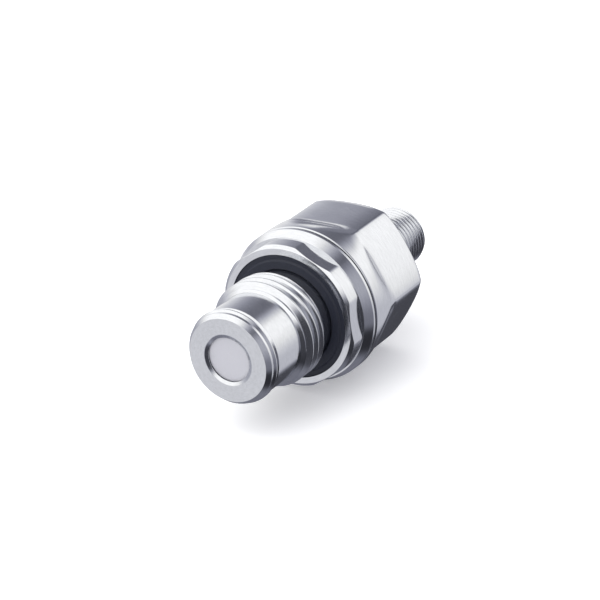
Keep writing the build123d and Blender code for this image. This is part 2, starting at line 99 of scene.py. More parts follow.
# Measuring tip and neck
NECK_DROP = 0.465       # the neck is lower than the root of the process thread
NECK_WALL = 1.65
TIP_LAND_DROP = 0.1     # plain land behind the front bevel, lower than the neck
TIP_LAND_LENGTH = 0.55
TIP_BEVEL_DEPTH = 0.7
TIP_BEVEL_LENGTH = 0.9
TIP_RING_HEIGHT = 0.25  # raised ring behind the land, higher than the neck
TIP_RING_RISE = 0.45
TIP_RING_LENGTH = 0.25
TIP_RELIEF_DEPTH = 0.35
TIP_RELIEF_LENGTH = 0.6
TIP_RELIEF_RISE = 0.35
POCKET_STEP = 0.4       # the cell's pocket is narrower than the bore behind it
LIP_WIDTH = 2.5         # the lip in front of the cell, across its ring
DISH_FLARE = 0.7        # the shallow dish ahead of the diaphragm widens by this much
DISH_EDGE = 0.8
DISH_LAND = 0.1
TIP_Y = low("process_fitting")
LIP_Y = low("diaphragm_seal")
LOCK_RING_Y = low("cell_lock_ring")
NECK_R = THREAD_ROOT_R - NECK_DROP
TIP_LAND_R = NECK_R - TIP_LAND_DROP
TIP_FACE_R = TIP_LAND_R - TIP_BEVEL_DEPTH
TIP_RING_R = NECK_R + TIP_RING_HEIGHT
TIP_RELIEF_R = NECK_R - TIP_RELIEF_DEPTH
FITTING_BORE_R = NECK_R - NECK_WALL
CELL_POCKET_R = FITTING_BORE_R - POCKET_STEP
LIP_BORE_R = CELL_POCKET_R - LIP_WIDTH
DISH_R = LIP_BORE_R + DISH_FLARE

# Flange, collar and spigot
FLANGE_ROUND = 0.55     # the round corners stand out past the flats by this much
FLANGE_EDGE = 0.5       # the chamfer's length along the axis
FLANGE_EDGE_WIDTH = 0.65
FLANGE_LENGTH = 3.6
FLANGE_TURN = 26.0      # from the housing's flats to the flange's
FLANGE_CORNER = 0.12    # how much the edges between flats and round are softened
COLLAR_STEP = 0.15
COLLAR_RISE = 1.95
COLLAR_LENGTH = 2.7
COLLAR_REAR_BEVEL = 0.2
COLLAR_CREST_ROUND = 0.08
JOINT_DEPTH = 0.65      # fine line between collar and housing
SPIGOT_BEVEL = 0.4
BODY_RING_FROM_JOINT = 1.45
BODY_RING_WIDTH = 1.5
BODY_RING_DEPTH = 1.1
SHELL_Y = low("housing_shell")
SPIGOT_END_Y = high("process_fitting")
BODY_RING_Y = SHELL_Y + BODY_RING_FROM_JOINT
BODY_RING_END_Y = BODY_RING_Y + BODY_RING_WIDTH
COLLAR_END_Y = FLANGE_LENGTH + COLLAR_LENGTH
SEAL_GROOVE_R = reach("thread_seal") + FIT
SEAL_GROOVE_DEPTH = high("thread_seal")
FLANGE_R = WRENCH_SIZE / 2 + FLANGE_ROUND
COLLAR_FRONT_R = FLANGE_R + COLLAR_STEP
COLLAR_R = reach("process_fitting")
JOINT_R = COLLAR_R - JOINT_DEPTH
SPIGOT_R = reach("housing_o_ring") - FIT / 2
BODY_RING_R = SPIGOT_R - BODY_RING_DEPTH

# Housing
SHELL_CORNER_DROP = 0.15
SHELL_FRONT_ROUND = 0.25
SHELL_REAR_ROUND = 1.5
BARREL_EASE = 1.0
FLAT_LENGTH = 10.6      # full-depth part of a flat, measured from the rear face
FLAT_RUN_OUT_R = 4.5    # curve that lifts the flat forward to the barrel
FLAT_RUN_OUT_ANGLE = 28.0
FLAT_SOFTNESS = 1.8     # how much the edges round the flats are softened
REAR_WALL = 2.6
REAR_BORE_R = 6.93
REAR_BORE_ROUND = 0.15
SHELL_BORE_ROUND = 0.3
SHELL_BACK_Y = high("housing_shell")
FLAT_END_Y = SHELL_BACK_Y - FLAT_LENGTH
WALL_Y = SHELL_BACK_Y - REAR_WALL
SHELL_R = reach("housing_shell")
SHELL_CORNER_R = SHELL_R - SHELL_CORNER_DROP
SHELL_BORE_R = SPIGOT_R + FIT

# Connector sleeve, M12x1
SLEEVE_THREAD_R = 6.0
SLEEVE_PITCH = 1.0
SLEEVE_THREAD_DEPTH = 0.6134 * SLEEVE_PITCH
SLEEVE_CREST = SLEEVE_PITCH / 8
SLEEVE_ROOT = SLEEVE_PITCH / 6
SLEEVE_THREAD_ROUND = 0.03
SLEEVE_THREAD_EDGE = 0.06
SLEEVE_END_BEVEL = 0.5
SLEEVE_RELIEF_R = 5.35
SLEEVE_RELIEF_LENGTH = 0.8
SLEEVE_STEP = 0.7       # plain shank that shows behind the housing
SLEEVE_BORE_R = 4.45
SLEEVE_SEAT_R = 6.4
SLEEVE_SEAT_DEPTH = 1.4
SLEEVE_RING_FROM_WALL = 0.8
SLEEVE_RING_WIDTH = 1.2
SLEEVE_RING_DEPTH = 0.9
SLEEVE_Y = low("connector_sleeve")
SLEEVE_END_Y = high("connector_sleeve")
SLEEVE_SEAT_Y = SLEEVE_Y + SLEEVE_SEAT_DEPTH
SLEEVE_RING_Y = WALL_Y + SLEEVE_RING_FROM_WALL
SLEEVE_RING_END_Y = SLEEVE_RING_Y + SLEEVE_RING_WIDTH
SHANK_END_Y = SHELL_BACK_Y + SLEEVE_STEP
SLEEVE_THREAD_Y = SHANK_END_Y + SLEEVE_RELIEF_LENGTH
SLEEVE_COLLAR_R = reach("connector_sleeve")
SLEEVE_SHANK_R = REAR_BORE_R - FIT
SLEEVE_RING_R = SLEEVE_SHANK_R - SLEEVE_RING_DEPTH

# Thread seal
SEAL_PROUD = 0.1        # the seal's inner land, ahead of the seat before it is tightened
SEAL_STEP = 0.3
SEAL_STEP_WIDTH = 0.9

# Fineness of the meshes
COLUMNS = 240           # round the fitting and the thread seal
HOUSING_COLUMNS = 288
SLEEVE_COLUMNS = 144
CELL_COLUMNS = 160      # round the diaphragm and its seal
THREAD_STEP = 0.06      # along the process thread
SLEEVE_THREAD_STEP = 0.05
BARREL_STATIONS = 70
FRONT_STATIONS = 9
REAR_STATIONS = 15
ARC_STEPS = ((0.1, 3), (0.4, 5), (math.inf, 9))     # steps of an arc whose radius is under that
LEAST_GAP = math.radians(0.08)                      # between two columns
BESIDE_EDGE = (-1.6, -0.8, -0.4, -0.15, 0.15, 0.4, 0.8, 1.6)    # degrees from an edge to its columns


# Camera

CAMERA_PLACE = Vector((0.2216, -0.3395, 0.1839))
CAMERA_FORWARD = Vector((-0.4945, 0.7679, -0.4071))
CAMERA_UP = Vector((-0.1637, 0.3777, 0.9113))
CAMERA_LENS = 145.3
CAMERA_SENSOR = 36.0
CAMERA_NEAR, CAMERA_FAR = 0.01, 20.0


def make_camera():
    data = bpy.data.cameras.new("camera")
    data.lens = CAMERA_LENS
    data.sensor_width = CAMERA_SENSOR
    data.clip_start = CAMERA_NEAR
    data.clip_end = CAMERA_FAR
    camera = bpy.data.objects.new("camera", data)
    right = CAMERA_FORWARD.cross(CAMERA_UP).normalized()
    up = right.cross(CAMERA_FORWARD).normalized()
    back = -CAMERA_FORWARD.normalized()
    camera.matrix_world = Matrix.Translation(CAMERA_PLACE) @ Matrix((right, up, back)).transposed().to_4x4()
    bpy.context.scene.collection.objects.link(camera)
    bpy.context.scene.camera = camera


# Outlines

def arc_steps(radius):
    return next(steps for limit, steps in ARC_STEPS if radius < limit)


def rounded(corners, closed=True):
    """Outline of (r, y) points from corners (r, y, radius), each corner turned into an arc."""
    points = []
    count = len(corners)
    for index, (r, y, radius) in enumerate(corners):
        here = np.array((r, y))
        if radius == 0 or (not closed and index in (0, count - 1)):
            points.append(here)
            continue
        before = np.array(corners[index - 1][:2]) - here
        after = np.array(corners[(index + 1) % count][:2]) - here
        before /= np.linalg.norm(before)
        after /= np.linalg.norm(after)
        half = math.acos(max(-1.0, min(1.0, float(before @ after)))) / 2
        to_tangent = radius / math.tan(half)
        middle = here + (before + after) / np.linalg.norm(before + after) * radius / math.sin(half)
        start = here + before * to_tangent - middle
        end = here + after * to_tangent - middle
        sweep = math.pi - 2 * half
        side = math.copysign(1.0, start[0] * end[1] - start[1] * end[0])
        for step in range(arc_steps(radius) + 1):
            turn = side * sweep * step / arc_steps(radius)
            c, s = math.cos(turn), math.sin(turn)
            points.append(middle + np.array((start[0] * c - start[1] * s, start[0] * s + start[1] * c)))
    return np.array(points)


def open_stretch(corners):
    """Rounded outline between the first corner and the last, without either."""
    return rounded(corners, closed=False)[1:-1]


def soft_min(a, b, width):
    """The smaller of two heights, with the crease between them rounded over that width."""
    near = np.maximum(width - np.abs(a - b), 0.0) / width
    return np.minimum(a, b) - near * near * width / 4


def hexagon(turns, first_turn, apothem):
    """Radius to the nearest of six flats, for each turn in radians."""
    off = (turns - math.radians(first_turn) + math.pi / 6) % (math.pi / 3) - math.pi / 6
    return apothem / np.cos(off)


Thread = namedtuple("Thread", "major_r depth pitch crest root start_y turn softness")

PROCESS_THREAD = Thread(THREAD_R, THREAD_DEPTH, THREAD_PITCH, THREAD_FLAT, THREAD_FLAT, THREAD_START_Y,
                        THREAD_TURN, THREAD_ROUND)
SLEEVE_THREAD = Thread(SLEEVE_THREAD_R, SLEEVE_THREAD_DEPTH, SLEEVE_PITCH, SLEEVE_CREST, SLEEVE_ROOT,
                       SLEEVE_THREAD_Y, 0.0, SLEEVE_THREAD_ROUND)


def thread_radius(thread, turns, y):
    """Radius of a right-handed thread, one row for each turn and one column for each Y.

    The middle of its groove crosses start_y at the thread's own turn from the top."""
    turned = (turns[:, None] - math.radians(thread.turn)) / (2 * math.pi)
    phase = (y - thread.start_y) / thread.pitch - turned
    from_groove = np.abs(phase - np.round(phase)) * thread.pitch
    slope = thread.depth / ((thread.pitch - thread.crest - thread.root) / 2)
    root_r = thread.major_r - thread.depth
    flank = root_r + (from_groove - thread.root / 2) * slope
    above_root = -soft_min(-flank, -root_r, thread.softness)
    return soft_min(above_root, thread.major_r, thread.softness)


def stations(start_y, end_y, step):
    """Evenly spaced Y from start to end, about a step apart."""
    return np.linspace(start_y, end_y, round((end_y - start_y) / step) + 1)


# Meshes

def even_turns(count):
    return np.linspace(0.0, 2 * math.pi, count, endpoint=False)


def turns_with_edges(count, edge_turns, offsets):
    """Evenly spaced turns, with more of them beside each edge."""
    extra = [math.radians(edge + offset) for edge in edge_turns for offset in offsets]
    turns = np.concatenate([even_turns(count), np.array(extra) % (2 * math.pi)])
    turns = np.sort(turns)
    gaps = np.diff(np.append(turns, turns[0] + 2 * math.pi))
    return turns[gaps > LEAST_GAP]


def side_by_side(columns, *stretches):
    """Radii for every turn, from stretches that are the same all round or change with the turn."""
    return np.concatenate(
        [np.broadcast_to(stretch, (columns, np.shape(stretch)[-1])) for stretch in stretches], axis=1)


def area_normals(points, faces):
    """Normals at the points, weighted by the area of the faces there, so that flats stay flat."""
    total = np.zeros_like(points)
    for size in (3, 4):
        group = np.array([face for face in faces if len(face) == size], int)
        if not len(group):
            continue
        normals = np.cross(points[group[:, 2]] - points[group[:, 0]],
                           points[group[:, -1]] - points[group[:, 1]])
        for corner in range(size):
            np.add.at(total, group[:, corner], normals)
    return total / np.maximum(np.linalg.norm(total, axis=1, keepdims=True), 1e-20)


def close_on_axis(points, faces, columns, rows):
    """Joins the points that lie on the axis into one at each end, with triangles round it."""
    target = np.arange(len(points))
    for end in (0, rows - 1):
        target[[column * rows + end for column in range(columns)]] = end
    kept = np.unique(target)
    place = {old: new for new, old in enumerate(kept)}
    joined = []
    for face in faces:
        corners = [place[target[corner]] for corner in face]
        joined.append(tuple(dict.fromkeys(corners)))
    return points[kept], joined


def link_new(name, data):
    obj = bpy.data.objects.new(name, data)
    bpy.context.scene.collection.objects.link(obj)
    return obj


def grid_mesh(name, turns, radii, heights, closed=True):
    """Mesh object from a grid of radius and Y, one row of the grid for each turn about the axis.

    Heights may be one row for all turns. A closed outline makes a ring. An open one starts and ends
    on the axis."""
    columns, rows = radii.shape
    heights = np.broadcast_to(heights, radii.shape)
    sines, cosines = np.sin(turns)[:, None], np.cos(turns)[:, None]
    points = np.stack([radii * sines, heights, radii * cosines], axis=2).reshape(-1, 3) * MM
    faces = []
    last = rows if closed else rows - 1
    for column in range(columns):
        here, there = column * rows, (column + 1) % columns * rows
        for row in range(last):
            step = (row + 1) % rows
            faces.append((here + row, here + step, there + step, there + row))
    if not closed:
        points, faces = close_on_axis(points, faces, columns, rows)
    mesh = bpy.data.meshes.new(name)
    mesh.from_pydata(points.tolist(), [], faces)
    mesh.polygons.foreach_set("use_smooth", [True] * len(mesh.polygons))
    mesh.normals_split_custom_set_from_vertices(area_normals(points, faces).tolist())
    mesh.update()
    return link_new(name, mesh)


def lathe(name, corners, columns=COLUMNS, closed=True):
    """Turned piece from one rounded outline."""
    outline = rounded(corners, closed)
    return grid_mesh(name, even_turns(columns), side_by_side(columns, outline[:, 0]), outline[:, 1], closed)


def finish_piece(obj, slot, node):
    """Lets a new piece stand for its solid, with the material of its slot."""
    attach(obj, "root")
    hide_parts(node)
    obj.data.materials.append(MATERIALS[slot])


# Process fitting

SPIGOT_RIM = (SPIGOT_R - SPIGOT_BEVEL, SPIGOT_END_Y, EDGE)
BORE_MOUTH = (FITTING_BORE_R, SPIGOT_END_Y, EDGE)


def fitting_turns():
    half = math.degrees(math.acos(WRENCH_SIZE / 2 / FLANGE_R))
    edges = [FLANGE_TURN + 60 * index + side * half for index in range(6) for side in (-1, 1)]
    return turns_with_edges(COLUMNS, edges, BESIDE_EDGE)


def fitting_thread(turns):
    """Radii and stations of the thread, from the neck to the relief behind it."""
    start_y = THREAD_START_Y - THREAD_LEAD_IN
    end_y = THREAD_END_Y + RELIEF_CHAMFER
    y = stations(start_y, end_y, THREAD_STEP)
    envelope = np.interp(y, (start_y, THREAD_START_Y, THREAD_END_Y, end_y),
                         (NECK_R, THREAD_R, THREAD_R, RELIEF_R))
    radii = soft_min(envelope, thread_radius(PROCESS_THREAD, turns, y), THREAD_EDGE)
    radii[:, [0, -1]] = envelope[[0, -1]]
    return radii, y


def tip_corners():
    """From the bore's mouth at the rear, out over the front, to the foot of the neck."""
    land_y = TIP_Y + TIP_BEVEL_LENGTH
    ring_y = land_y + TIP_LAND_LENGTH
    crest_y = ring_y + TIP_RING_RISE
    relief_y = crest_y + TIP_RING_LENGTH
    rise_y = relief_y + TIP_RELIEF_LENGTH
    return [
        BORE_MOUTH, (FITTING_BORE_R, LOCK_RING_Y, EDGE),
        (CELL_POCKET_R, LOCK_RING_Y, EDGE), (CELL_POCKET_R, LIP_Y, EDGE),
        (LIP_BORE_R, LIP_Y, THIN_EDGE), (LIP_BORE_R, LIP_Y - DISH_LAND, THIN_EDGE),
        (DISH_R, TIP_Y, DISH_EDGE), (TIP_FACE_R, TIP_Y, EDGE),
        (TIP_LAND_R, land_y, CREASE), (TIP_LAND_R, ring_y, CREASE),
        (TIP_RING_R, crest_y, EDGE), (TIP_RING_R, relief_y, EDGE),
        (TIP_RELIEF_R, relief_y, EDGE), (TIP_RELIEF_R, rise_y, CREASE),
        (NECK_R, rise_y + TIP_RELIEF_RISE, CREASE)]


def back_corners(flange_r):
    """From the thread's relief to the spigot's end, for one radius of the flange."""
    face_r = min(FLANGE_R - FLANGE_EDGE_WIDTH, flange_r - EDGE)
    edge_y = (flange_r - face_r) * FLANGE_EDGE / FLANGE_EDGE_WIDTH
    return [
        (RELIEF_R, SEAL_GROOVE_DEPTH, CREASE), (SEAL_GROOVE_R, SEAL_GROOVE_DEPTH, CREASE),
        (SEAL_GROOVE_R, 0.0, EDGE), (face_r, 0.0, FACET_EDGE), (flange_r, edge_y, FACET_EDGE),
        (flange_r, FLANGE_LENGTH, THIN_EDGE), (COLLAR_FRONT_R, FLANGE_LENGTH, EDGE),
        (COLLAR_R, FLANGE_LENGTH + COLLAR_RISE, COLLAR_CREST_ROUND),
        (COLLAR_R, COLLAR_END_Y - COLLAR_REAR_BEVEL, CREASE),
        (COLLAR_R - COLLAR_REAR_BEVEL, COLLAR_END_Y, CREASE),
        (JOINT_R, COLLAR_END_Y, CREASE), (JOINT_R, SHELL_Y, CREASE),
        (SPIGOT_R, SHELL_Y, CREASE), (SPIGOT_R, BODY_RING_Y, EDGE),
        (BODY_RING_R, BODY_RING_Y, EDGE), (BODY_RING_R, BODY_RING_END_Y, EDGE),
        (SPIGOT_R, BODY_RING_END_Y, EDGE), (SPIGOT_R, SPIGOT_END_Y - SPIGOT_BEVEL, EDGE),
        SPIGOT_RIM]


def make_fitting():
    turns = fitting_turns()
    thread_r, thread_y = fitting_thread(turns)
    flange_r = soft_min(FLANGE_R, hexagon(turns, FLANGE_TURN, WRENCH_SIZE / 2), FLANGE_CORNER)
    front = open_stretch([SPIGOT_RIM, *tip_corners(), (NECK_R, thread_y[0], 0.0)])
    radii, heights = [], []
    for column, r in enumerate(flange_r):
        rear = open_stretch([(RELIEF_R, thread_y[-1], 0.0), *back_corners(float(r)), BORE_MOUTH])
        radii.append(np.concatenate([front[:, 0], thread_r[column], rear[:, 0]]))
        heights.append(np.concatenate([front[:, 1], thread_y, rear[:, 1]]))
    fitting = grid_mesh("fitting_body", turns, np.array(radii), np.array(heights))
    finish_piece(fitting, "turned_steel", "process_fitting")


# Housing

def flat_height(y):
    """Distance of a flat from the axis at each Y: level at the rear, then curving up to the barrel."""
    rise = math.radians(FLAT_RUN_OUT_ANGLE)
    arc_length = FLAT_RUN_OUT_R * math.sin(rise)
    back = np.clip(FLAT_END_Y - y, 0.0, arc_length)
    on_arc = FLAT_RUN_OUT_R - np.sqrt(FLAT_RUN_OUT_R ** 2 - back ** 2)
    on_slope = np.maximum(FLAT_END_Y - arc_length - y, 0.0) * math.tan(rise)
    return WRENCH_SIZE / 2 + on_arc + on_slope


def shell_envelope():
    """Stations and radii of the round outside, from the front edge to the rear face."""
    start_y = SHELL_Y + SHELL_FRONT_ROUND
    barrel_y = np.linspace(start_y, SHELL_BACK_Y - SHELL_REAR_ROUND, BARREL_STATIONS)
    barrel_r = np.interp(barrel_y, (FLAT_END_Y - BARREL_EASE, FLAT_END_Y), (SHELL_R, SHELL_CORNER_R))
    front = np.linspace(0.0, math.pi / 2, FRONT_STATIONS)[:-1]
    front_y = start_y - SHELL_FRONT_ROUND * np.cos(front)
    front_r = SHELL_R - SHELL_FRONT_ROUND * (1 - np.sin(front))
    rear = np.linspace(0.0, math.pi / 2, REAR_STATIONS)[1:]
    rear_y = SHELL_BACK_Y - SHELL_REAR_ROUND * (1 - np.sin(rear))
    rear_r = SHELL_CORNER_R - SHELL_REAR_ROUND * (1 - np.cos(rear))
    return np.concatenate([front_y, barrel_y, rear_y]), np.concatenate([front_r, barrel_r, rear_r])


def make_housing():
    turns = even_turns(HOUSING_COLUMNS)
    y, envelope = shell_envelope()
    flats = hexagon(turns[:, None], 0.0, 1.0) * flat_height(y)
    outside = soft_min(envelope, flats, FLAT_SOFTNESS)
    inside = open_stretch([
        (SHELL_CORNER_R - SHELL_REAR_ROUND, SHELL_BACK_Y, 0.0), (REAR_BORE_R, SHELL_BACK_Y, REAR_BORE_ROUND),
        (REAR_BORE_R, WALL_Y, EDGE), (SHELL_BORE_R, WALL_Y, SHELL_BORE_ROUND),
        (SHELL_BORE_R, SHELL_Y, EDGE), (SHELL_R - SHELL_FRONT_ROUND, SHELL_Y, 0.0)])
    radii = side_by_side(HOUSING_COLUMNS, outside, inside[:, 0])
    shell = grid_mesh("housing", turns, radii, np.concatenate([y, inside[:, 1]]))
    finish_piece(shell, "turned_steel", "housing_shell")


# Connector

def sleeve_thread(turns):
    """Radii and stations of the thread, from the relief to the bevelled end."""
    y = stations(SLEEVE_THREAD_Y, SLEEVE_END_Y, SLEEVE_THREAD_STEP)
    envelope = np.interp(
        y, (SLEEVE_THREAD_Y, SLEEVE_THREAD_Y + SLEEVE_THREAD_STEP, SLEEVE_END_Y - SLEEVE_END_BEVEL,
            SLEEVE_END_Y),
        (SLEEVE_RELIEF_R, SLEEVE_THREAD_R, SLEEVE_THREAD_R, SLEEVE_THREAD_R - SLEEVE_END_BEVEL))
    return soft_min(envelope, thread_radius(SLEEVE_THREAD, turns, y), SLEEVE_THREAD_EDGE), y


def make_sleeve():
    turns = even_turns(SLEEVE_COLUMNS)
    thread_r, thread_y = sleeve_thread(turns)
    start = rounded([
        (SLEEVE_SEAT_R, SLEEVE_Y, EDGE), (SLEEVE_COLLAR_R, SLEEVE_Y, EDGE),
        (SLEEVE_COLLAR_R, WALL_Y, EDGE), (SLEEVE_SHANK_R, WALL_Y, EDGE),
        (SLEEVE_SHANK_R, SLEEVE_RING_Y, EDGE), (SLEEVE_RING_R, SLEEVE_RING_Y, EDGE),
        (SLEEVE_RING_R, SLEEVE_RING_END_Y, EDGE), (SLEEVE_SHANK_R, SLEEVE_RING_END_Y, EDGE),
        (SLEEVE_SHANK_R, SHANK_END_Y, TURNED_ROUND), (SLEEVE_RELIEF_R, SHANK_END_Y, CREASE),
        (SLEEVE_RELIEF_R, SLEEVE_THREAD_Y, 0.0)], closed=False)[:-1]
    end = open_stretch([
        (SLEEVE_THREAD_R - SLEEVE_END_BEVEL, SLEEVE_END_Y, 0.0), (SLEEVE_BORE_R, SLEEVE_END_Y, TURNED_ROUND),
        (SLEEVE_BORE_R, SLEEVE_SEAT_Y, EDGE), (SLEEVE_SEAT_R, SLEEVE_SEAT_Y, EDGE),
        (SLEEVE_SEAT_R, SLEEVE_Y, 0.0)])
    radii = side_by_side(SLEEVE_COLUMNS, start[:, 0], thread_r, end[:, 0])
    sleeve = grid_mesh("plug_sleeve", turns, radii, np.concatenate([start[:, 1], thread_y, end[:, 1]]))
    finish_piece(sleeve, "turned_steel", "connector_sleeve")


# Seals and diaphragm

def make_thread_seal():
    inner_r = RELIEF_R + FIT
    outer_r = SEAL_GROOVE_R - FIT
    step_r = outer_r - SEAL_STEP_WIDTH
    step_y = SEAL_STEP - SEAL_PROUD
    ring = lathe("profile_seal", [
        (inner_r, step_y, TURNED_ROUND), (inner_r + SEAL_STEP, -SEAL_PROUD, TURNED_ROUND),
        (step_r - SEAL_STEP, -SEAL_PROUD, TURNED_ROUND), (step_r, step_y, TURNED_ROUND),
        (outer_r, step_y, TURNED_ROUND), (outer_r, SEAL_GROOVE_DEPTH, EDGE),
        (inner_r, SEAL_GROOVE_DEPTH, EDGE)])
    finish_piece(ring, "seal_rubber", "thread_seal")


def make_lip_seal():
    front_y, back_y, rim = low("diaphragm_seal"), high("diaphragm_seal"), reach("diaphragm_seal")
    lip = lathe("lip_seal", [(LIP_BORE_R, front_y, EDGE), (rim, front_y, EDGE), (rim, back_y, EDGE),
                             (LIP_BORE_R, back_y, EDGE)], CELL_COLUMNS)
    finish_piece(lip, "seal_rubber", "diaphragm_seal")


def make_diaphragm():
    node = "measuring_diaphragm"
    front_y, back_y, rim = low(node), high(node), reach(node)
    disc = lathe("diaphragm", [(0.0, front_y, 0.0), (rim, front_y, EDGE), (rim, back_y, EDGE),
                               (0.0, back_y, 0.0)], CELL_COLUMNS, closed=False)
    finish_piece(disc, "cell_ceramic", node)


# Materials

class Nodes:
    """Short way to add shader nodes and join them."""

    def __init__(self, tree):
        self.tree = tree

    def add(self, kind, values=None, **settings):
        node = self.tree.nodes.new(kind)
        for name, setting in settings.items():
            setattr(node, name, setting)
        for socket, value in (values or {}).items():
            self.put(node.inputs[socket], value)
        return node

    def put(self, socket, value):
        if isinstance(value, bpy.types.NodeSocket):
            self.tree.links.new(value, socket)
        else:
            socket.default_value = value

    def math(self, operation, a, b=0.0):
        return self.add("ShaderNodeMath", {0: a, 1: b}, operation=operation).outputs[0]

    def times(self, a, b):
        return self.math("MULTIPLY", a, b)

    def sum(self, a, share, b):
        """That share of a, and the rest of b."""
        return self.math("ADD", self.times(a, share), self.times(b, 1 - share))

    def scaled(self, value, low_in, high_in, low_out, high_out):
        return self.add("ShaderNodeMapRange", {0: value, 1: low_in, 2: high_in, 3: low_out,
                                               4: high_out}).outputs[0]

    def spread(self, noise, low_out, high_out):
        """Noise, most of which lies between 0.3 and 0.7, spread over a range."""
        return self.scaled(noise, 0.3, 0.7, low_out, high_out)

    def noise(self, place, scale, detail=3.0):
        return self.add("ShaderNodeTexNoise", {"Vector": place, "Scale": scale, "Detail": detail}
                        ).outputs[0]

    def vector(self, x, y, z):
        return self.add("ShaderNodeCombineXYZ", {0: x, 1: y, 2: z}).outputs[0]

    def blend(self, share, a, b):
        """Colour between a and b."""
        return self.add("ShaderNodeMix", {0: share, 6: a, 7: b}, data_type="RGBA").outputs[2]

    def bump(self, height, strength, distance):
        return self.add("ShaderNodeBump", {"Height": height, "Strength": strength,
                                           "Distance": distance}).outputs[0]


def new_material(name, base, metallic, roughness):
    material = bpy.data.materials.new(name)
    material.use_nodes = True
    shader = material.node_tree.nodes["Principled BSDF"]
    shader.inputs["Base Color"].default_value = (*base, 1.0)
    shader.inputs["Metallic"].default_value = metallic
    shader.inputs["Roughness"].default_value = roughness
    return material, Nodes(material.node_tree), shader


def shade(colour, factor):
    return tuple(min(1.0, channel * factor) for channel in colour) + (1.0,)


STEEL_COLOUR = (0.80, 0.81, 0.83)
STEEL_ROUGHNESS = 0.15
STEEL_ANISOTROPY = 0.35
STEEL_LINES = 2600.0        # turning marks to the metre, the broad ones
STEEL_FINE_LINES = 14000.0
STEEL_STREAK = 9.0          # how often a mark breaks up round the axis
STEEL_CLOUD = 160.0         # soft unevenness, to the metre
STEEL_BROAD_SHARE = 0.6     # of the broad marks, in its colour and its surface
STEEL_FINE_SHARE = 0.5      # of the fine marks, in its sheen
STEEL_CHANGE = 0.05         # of its colour and of its roughness
STEEL_BUMP, STEEL_BUMP_DEPTH = 0.25, 0.00001


def steel():
    """Turned stainless steel: fine marks round the axis, in the sheen and in the surface."""
    material, nodes, shader = new_material("turned_steel", STEEL_COLOUR, 1.0, STEEL_ROUGHNESS)
    place = nodes.add("ShaderNodeTexCoord").outputs["Object"]
    x, y, z = nodes.add("ShaderNodeSeparateXYZ", {0: place}).outputs
    radius = nodes.math("SQRT", nodes.math("ADD", nodes.times(x, x), nodes.times(z, z)))
    along = nodes.math("ADD", y, radius)
    round_x = nodes.math("DIVIDE", x, radius)
    round_z = nodes.math("DIVIDE", z, radius)
    broad, fine = (
        nodes.noise(nodes.vector(nodes.times(along, lines), nodes.times(round_x, STEEL_STREAK),
                                 nodes.times(round_z, STEEL_STREAK)), 1.0, detail=1.0)
        for lines in (STEEL_LINES, STEEL_FINE_LINES))
    cloud = nodes.noise(place, STEEL_CLOUD)
    nodes.put(shader.inputs["Base Color"],
              nodes.blend(nodes.spread(nodes.sum(broad, STEEL_BROAD_SHARE, cloud), 0.0, 1.0),
                          shade(STEEL_COLOUR, 1 - STEEL_CHANGE), shade(STEEL_COLOUR, 1 + STEEL_CHANGE)))
    nodes.put(shader.inputs["Roughness"],
              nodes.spread(nodes.sum(fine, STEEL_FINE_SHARE, cloud), STEEL_ROUGHNESS - STEEL_CHANGE,
                           STEEL_ROUGHNESS + STEEL_CHANGE))
    nodes.put(shader.inputs["Tangent"],
              nodes.add("ShaderNodeTangent", direction_type="RADIAL", axis="Y").outputs[0])
    shader.inputs["Anisotropic"].default_value = STEEL_ANISOTROPY
    nodes.put(shader.inputs["Normal"],
              nodes.bump(nodes.sum(broad, STEEL_BROAD_SHARE, fine), STEEL_BUMP, STEEL_BUMP_DEPTH))
    return material


# Name, colour, metallic, roughness, specks to the metre, change of colour, depth of grain, specular
GRAINED = (
    ("seal_rubber", (0.019, 0.022, 0.036), 0.0, 0.5, 5000.0, 0.15, 0.00001, 0.4),
    ("cell_ceramic", (0.46, 0.46, 0.50), 0.0, 0.55, 9000.0, 0.04, 0.000005, 0.4),
    ("cell_frit", (0.45, 0.40, 0.32), 0.0, 0.3, 4000.0, 0.1, 0.00001, 0.5),
    ("circuit_board", (0.02, 0.16, 0.08), 0.0, 0.35, 3000.0, 0.15, 0.00001, 0.5),
    ("chip_black", (0.03, 0.03, 0.032), 0.0, 0.55, 8000.0, 0.2, 0.00001, 0.4),
    ("chip_ceramic", (0.50, 0.38, 0.26), 0.0, 0.5, 6000.0, 0.1, 0.00001, 0.5),
    ("can_metal", (0.80, 0.80, 0.80), 1.0, 0.25, 2000.0, 0.05, 0.000005, 0.5),
    ("choke_ferrite", (0.09, 0.09, 0.10), 0.0, 0.6, 7000.0, 0.2, 0.00001, 0.4),
    ("ribbon_amber", (0.55, 0.27, 0.05), 0.0, 0.25, 1500.0, 0.1, 0.000005, 0.5),
    ("holder_plastic", (0.25, 0.26, 0.28), 0.0, 0.45, 5000.0, 0.06, 0.00001, 0.45),
    ("connector_plastic", (0.025, 0.025, 0.028), 0.0, 0.45, 5000.0, 0.15, 0.00001, 0.45),
    ("contact_gold", (0.90, 0.68, 0.30), 1.0, 0.2, 3000.0, 0.05, 0.000005, 0.5),
)
GRAIN_SHEEN = 0.04          # change of roughness
GRAIN_BUMP = 0.3


